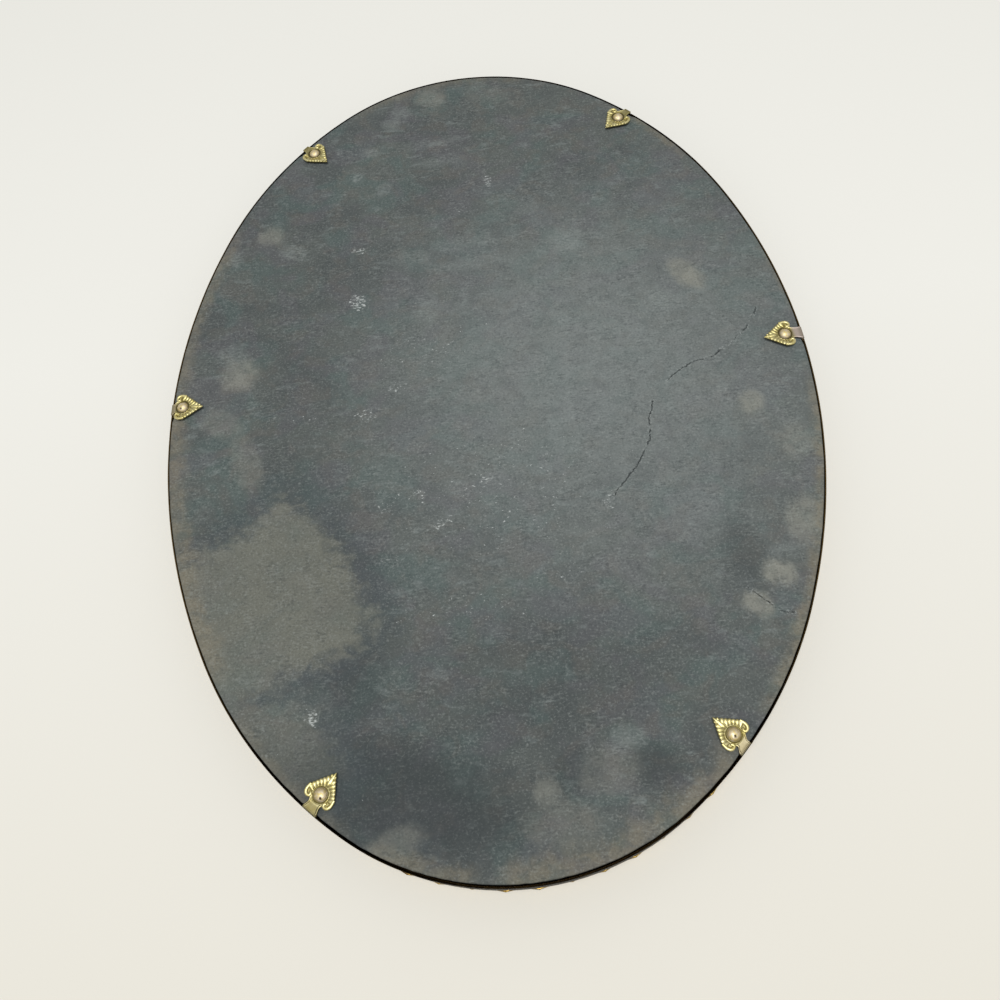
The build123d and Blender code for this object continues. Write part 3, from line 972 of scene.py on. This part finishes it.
half_outline = [
    (0, foot_half_width), (0.7, 2.2), (1.5, 1.95), (2.3, 1.85), (2.9, 2.1), (3.0, 3.0), (3.3, 3.9),
    (4.3, 4.5), (5.7, 4.6), (8.2, 3.2), (10.6, 1.35), (12.2, 0.3),
]
plate_outline = half_outline + [(x, -y) for x, y in reversed(half_outline)]
bpy.ops.object.select_all(action="DESELECT")
bpy.ops.mesh.primitive_circle_add(vertices=len(plate_outline), fill_type="NGON")
plate = bpy.context.object
for vertex, (x, y) in zip(plate.data.vertices, plate_outline):
    vertex.co = (x, y, plate_bottom)
bpy.ops.object.mode_set(mode="EDIT")
bpy.ops.mesh.select_all(action="SELECT")
bpy.ops.mesh.extrude_region_move(TRANSFORM_OT_translate={"value": (0, 0, plate_top - plate_bottom)})
bpy.ops.mesh.select_all(action="SELECT")
bpy.ops.mesh.normals_make_consistent(inside=False)
bpy.ops.object.mode_set(mode="OBJECT")
leaf_forms = [plate]

bpy.ops.mesh.primitive_torus_add(
    location=(stud_distance, 0, plate_top),
    major_radius=ring_radius,
    minor_radius=ring_wire,
    major_segments=64,
    minor_segments=16,
)
bpy.ops.object.transform_apply(location=True)
leaf_forms.append(keep_flat(bpy.context.object))
scroll = [
    (6.4, 4.2), (5.4, 4.4), (4.3, 4.4), (3.4, 3.9), (3.15, 3.05), (3.55, 2.5), (4.2, 2.6), (4.4, 3.05),
]
neck_edge = [(0.1, 2.3), (1.0, 2.0), (2.2, 1.7), (3.1, 1.9), (3.9, 2.5), (4.5, 3.0)]
for side in (1, -1):
    mirror = Vector((1, side, 1))
    for index in range(rib_count):
        share = index / (rib_count - 1)
        turn = first_rib_turn + (last_rib_turn - first_rib_turn) * share
        end = first_rib_end.lerp(last_rib_end, share)
        slant = Vector((cos(turn), sin(turn), 0))
        from_stud = end - Vector((stud_distance, 0, plate_top))
        reach = from_stud.dot(slant)
        into_ring = reach - max(0, reach**2 - from_stud.length_squared + ring_radius**2) ** 0.5
        root = end - slant * min(into_ring, longest_rib)
        leaf_forms.append(gadroon(root * mirror, end * mirror, rib_half_width, rib_height))
    tip_rib = (tip_rib_root * mirror, tip_rib_end * mirror)
    leaf_forms.append(gadroon(*tip_rib, tip_rib_half_width, tip_rib_height))
    curl = [(x, side * y, plate_top + scroll_rise) for x, y in scroll]
    leaf_forms.append(raised_line(curl, scroll_wire))
    leaf_forms.append(raised_line([(x, side * y, plate_top) for x, y in neck_edge], neck_wire))
leaf_forms.append(gadroon(Vector((leaf_tip, 0, plate_top)), spine_end, spine_half_width, spine_height))
bpy.ops.mesh.primitive_cylinder_add(
    vertices=48, radius=fold_radius, depth=2 * foot_half_width, rotation=(pi / 2, 0, 0)
)
bpy.ops.object.transform_apply(rotation=True)
leaf_forms.append(bpy.context.object)

bpy.ops.object.select_all(action="DESELECT")
for form in leaf_forms:
    form.select_set(True)
bpy.context.view_layer.objects.active = plate
bpy.ops.object.join()
palmette = bpy.context.object
bpy.ops.object.modifier_add(type="REMESH")
palmette.modifiers["Remesh"].voxel_size = chisel_grid
bpy.ops.object.modifier_apply(modifier="Remesh")
bpy.ops.object.modifier_add(type="SMOOTH")
palmette.modifiers["Smooth"].iterations = 2
bpy.ops.object.modifier_apply(modifier="Smooth")
bpy.ops.object.shade_smooth()
# Grime and painted shade: darker in the hollows between the ribs, inside the ring round the stud and towards
# the fold.
grime = palmette.data.attributes.new("grime", "FLOAT", "POINT")
for vertex in palmette.data.vertices:
    x, y, z = vertex.co
    hollow_share = min(1, max(0, (rib_top - z) / hollow_depth))
    in_ring = hypot(x - stud_distance, y) < ring_floor
    blade_share = min(1, max(0, (x - blade_start) / grime_and_shade_fade))
    foot_share = min(1, max(0, (grime_and_shade_fade - x) / grime_and_shade_fade))
    lying = hollow_share * (hollow_grime_and_shade + blade_grime_and_shade * blade_share + foot_grime_and_shade * foot_share)
    grime.data[vertex.index].value = ring_grime_and_shade if in_ring else lying

# Stamped brass: pale yellow on the worn ribs, olive to brown in the hollows, where grime lies and painted
# shade darkens them. Where the neck was soldered and rubbed, it shows pinkish silver, which also stands in
# for a painted sheen on the neck.
clip_brass, place = new_finish("Worn stamped brass")
grime = add_node(clip_brass, "Attribute", output="Fac", attribute_name="grime")
solder = add_node(clip_brass, "Attribute", output="Fac", attribute_name="solder")
film = add_node(clip_brass, "TexNoise", {"Vector": place, "Scale": 1 / (1.6 * MM), "Detail": 4})
filmed = add_node(clip_brass, "MapRange", {0: film, 1: 0.35, 2: 0.7})
brass_colour = add_node(clip_brass, "Mix", {0: filmed, 6: srgb("#f6ecb2"), 7: srgb("#d8ca7e")}, **tint)
brass_colour = add_node(clip_brass, "Mix", {0: solder, 6: brass_colour, 7: srgb("#e6d6cc")}, **tint)
brass_colour = add_node(clip_brass, "Mix", {0: grime, 6: brass_colour, 7: srgb("#4f4418")}, **tint)
scratches = add_node(clip_brass, "TexNoise", {"Vector": place, "Scale": 1 / (0.25 * MM), "Detail": 3})
brass_gloss = add_node(clip_brass, "MapRange", {0: scratches, 1: 0.3, 2: 0.7, 3: 0.38, 4: 0.52})
brass_bump = add_node(clip_brass, "Bump", {"Height": scratches, "Strength": 0.2, "Distance": 0.02 * MM})
brass_metal = add_node(clip_brass, "MapRange", {0: solder, 3: 0.88, 4: 0.4})
add_node(
    clip_brass,
    "BsdfPrincipled",
    {"Base Color": brass_colour, "Metallic": brass_metal, "Roughness": brass_gloss, "Normal": brass_bump},
)

# How each leaf was bent by hand: twist on the neck and slope off the board in degrees, how far the blade
# sits inwards and sideways in millimetres, the shares of pale solder, also painted sheen, and of grime with
# painted shade on the neck, how far along it they reach, and how much narrower the neck is at the fold
Bend = namedtuple("Bend", "twist slope shift slide solder grime reach pinch")
leaf_bends = {
    "top_left": Bend(-1.0, 1.5, -0.6, 0.2, 0.0, 0.45, 1.7, 0.5),
    "top_right": Bend(-3.0, 1.5, -0.3, -0.5, 0.0, 0.45, 1.7, 0.5),
    "right": Bend(3.0, 3.5, 0.2, -0.5, 1.0, 0.0, 3.4, 0.1),
    "bottom_right": Bend(-0.2, 3.5, -0.8, -1.1, 0.4, 0.5, 3.4, 0.1),
    "bottom_left": Bend(2.3, 3.5, -0.3, 0.0, 0.1, 0.72, 3.4, 0.0),
    "left": Bend(-2.1, 3.5, -1.85, 0.7, 0.5, 0.5, 3.4, 0.2),
}
neck_start = 0.2
neck_length = 3.0
neck_fade = 1.4


def fold_frame(joint, slope):
    """Matrix from a clip's own millimetres to its fold: X inwards over the board, Y along the fold."""
    inward = Vector((0, 0, 1)).cross(Vector(joint["axis"]))
    turn = Matrix((inward, Vector((0, 0, 1)).cross(inward), (0, 0, 1))).transposed().to_4x4()
    lift = Matrix.Rotation(-radians(slope), 4, "Y")
    return Matrix.Translation(joint["pos_m"]) @ turn @ lift @ Matrix.Diagonal((MM, MM, MM, 1))


def bend_neck(mesh, bend):
    """Moves the blade over the board and twists it, while the neck narrows and follows from the fold."""
    for vertex in mesh.vertices:
        along = min(1, max(0, (vertex.co.x - neck_start) / neck_length))
        along = along * along * (3 - 2 * along)
        moved = vertex.co + Vector((bend.shift, bend.slide, 0))
        bent = Matrix.Rotation(radians(bend.twist), 3, "Z") @ moved
        vertex.co.y *= 1 - bend.pinch
        vertex.co = vertex.co.lerp(bent, along)


for clip, joint in clip_joints.items():
    bend = leaf_bends[clip]
    leaf = palmette.copy()
    leaf.data = palmette.data.copy()
    leaf.name = "palmette_leaf_" + clip
    bpy.context.collection.objects.link(leaf)
    # On the neck: pale solder, which is also painted sheen, and grime with painted shade.
    solder = leaf.data.attributes.new("solder", "FLOAT", "POINT")
    grime = leaf.data.attributes["grime"]
    for vertex in leaf.data.vertices:
        neck_share = min(1, max(0, (bend.reach - vertex.co.x) / neck_fade))
        solder.data[vertex.index].value = bend.solder * neck_share
        grime.data[vertex.index].value = max(grime.data[vertex.index].value, bend.grime * neck_share)
    bend_neck(leaf.data, bend)
    leaf.data.transform(fold_frame(joint, bend.slope))
    dress(leaf, joint["child"], "clip_brass", clip_brass, "clip_leaf_" + clip)
bpy.data.objects.remove(palmette)

# Clip studs: a domed brass rivet through each leaf, with a fine collar. They were plated, and the plating
# has worn to a warm silver with dark, dented pits. Their darkness is part pitting and part painted
# reflection of dark surroundings, and the collar's is grime with painted shade in the groove round the dome.
stud_profile = [
    (0.0, 1.06), (0.42, 1.03), (0.88, 0.92), (1.27, 0.73), (1.56, 0.47), (1.74, 0.2), (1.8, 0.04),
    (1.95, 0.06), (2.02, 0.0), (0.8, 0.0), (0.8, -0.4), (0.0, -0.4),
]
collar_radius = 1.77
collar_grime_and_shade = 0.7
dome_foot = 0.3
stud_pits = {"bottom_left": (-0.75, -0.75), "left": (-0.2, -0.85), "bottom_right": (-0.5, 0.35)}
pit_radius = 0.5
pit_depth = 0.2
stud_steps = 48

# Worn plating: bright and slightly warm, brass showing through in patches under a millimetre.
stud_metal, place = new_finish("Worn plated brass")
wear = add_node(stud_metal, "TexNoise", {"Vector": place, "Scale": 1 / (0.9 * MM), "Detail": 4})
worn = add_node(stud_metal, "MapRange", {0: wear, 1: 0.42, 2: 0.62})
pits_and_shade_mark = add_node(stud_metal, "Attribute", output="Fac", attribute_name="pits_and_shade")
stud_colour = add_node(stud_metal, "Mix", {0: worn, 6: srgb("#f7e9cf"), 7: srgb("#e8d79c")}, **tint)
# Painted reflection and shade: dark pits on the domes and a dark collar in the groove round each dome.
stud_colour = add_node(stud_metal, "Mix", {0: pits_and_shade_mark, 6: stud_colour, 7: srgb("#3a2c14")}, **tint)
stud_gloss = add_node(stud_metal, "MapRange", {0: wear, 1: 0.3, 2: 0.7, 3: 0.56, 4: 0.7})
add_node(stud_metal, "BsdfPrincipled", {"Base Color": stud_colour, "Metallic": 1.0, "Roughness": stud_gloss})

for clip, joint in clip_joints.items():
    bend = leaf_bends[clip]
    stud = spin_section(stud_profile, stud_steps, weld=0.001)
    stud.name = "domed_stud_" + clip
    pits_and_shade = stud.data.attributes.new("pits_and_shade", "FLOAT", "POINT")
    for vertex in stud.data.vertices:
        pits_and_shade.data[vertex.index].value = collar_grime_and_shade if vertex.co.xy.length > collar_radius else 0.0
        if clip in stud_pits and vertex.co.z > dome_foot:
            nearness = max(0, 1 - (vertex.co.xy - Vector(stud_pits[clip])).length / pit_radius)
            pits_and_shade.data[vertex.index].value += min(1, 2 * nearness)
            vertex.co.z -= pit_depth * nearness
    bpy.ops.object.shade_smooth_by_angle(angle=radians(50))
    stud.data.transform(Matrix.Translation((stud_distance, 0, plate_top)))
    bend_neck(stud.data, bend)
    stud.data.transform(fold_frame(joint, bend.slope))
    dress(stud, joint["child"], "stud_metal", stud_metal, "clip_stud_" + clip)

# Table: a sheet of plain warm-white paper under the frame, which keeps the frame's soft shadow. It is
# painted a little greyer towards the viewer, as painted shade where the light falls off.
table_radius = 1.6
bpy.ops.object.select_all(action="DESELECT")
bpy.ops.mesh.primitive_circle_add(vertices=96, radius=table_radius, fill_type="NGON")
table = bpy.context.object
table.name = "paper_table"
white_paper, place = new_finish("Matt white paper")
lengthwise = add_node(white_paper, "SeparateXYZ", {0: place}, output="Y")
# Painted shade: the paper greys towards the viewer.
far_share = add_node(white_paper, "MapRange", {0: lengthwise, 1: -230 * MM, 2: 40 * MM})
paper_tone_and_shade = add_node(white_paper, "Mix", {0: far_share, 6: srgb("#e6e2d6"), 7: srgb("#f2f1ea")}, **tint)
add_node(
    white_paper, "BsdfPrincipled", {"Base Color": paper_tone_and_shade, "Roughness": 1.0, "Specular IOR Level": 0.0}
)
table.data.materials.append(white_paper)

# Light: a wide soft lamp high over the near side of the frame, in a plain room whose pale walls fill the
# shadows.
lamp_place = Vector((0.0, -0.5, 2.0))
lamp_width = 0.9
lamp_watts = 30.0
room_strength = 0.36
world = bpy.data.worlds.new("Plain room")
bpy.context.scene.world = world
world.use_nodes = True
room = world.node_tree.nodes["Background"]
room.inputs["Color"].default_value = srgb("#f7f7f7")
room.inputs["Strength"].default_value = room_strength
bpy.ops.object.light_add(type="AREA", location=lamp_place)
lamp = bpy.context.object
lamp.name = "soft_lamp"
lamp.data.shape = "DISK"
lamp.data.size = lamp_width
lamp.data.energy = lamp_watts
lamp.rotation_euler = (-lamp_place).to_track_quat("-Z", "Y").to_euler()

# Camera: held above the lower end of the frame and tilted towards its middle, as the view was taken.
eye = Vector((14.9, -164.8, 287.0)) * MM
looking = Vector((-0.0426, 0.4244, -0.9045)).normalized()
upwards = Vector((0.0931, 0.9029, 0.4197))
rightwards = looking.cross(upwards).normalized()
upwards = rightwards.cross(looking)
bpy.ops.object.camera_add()
camera = bpy.context.object
camera.matrix_world = Matrix.Translation(eye) @ Matrix((rightwards, upwards, -looking)).transposed().to_4x4()
camera.data.sensor_width = 36.0
camera.data.lens = 34.27
camera.data.clip_start = 0.01
bpy.context.scene.camera = camera
bpy.context.scene.view_settings.view_transform = "Standard"
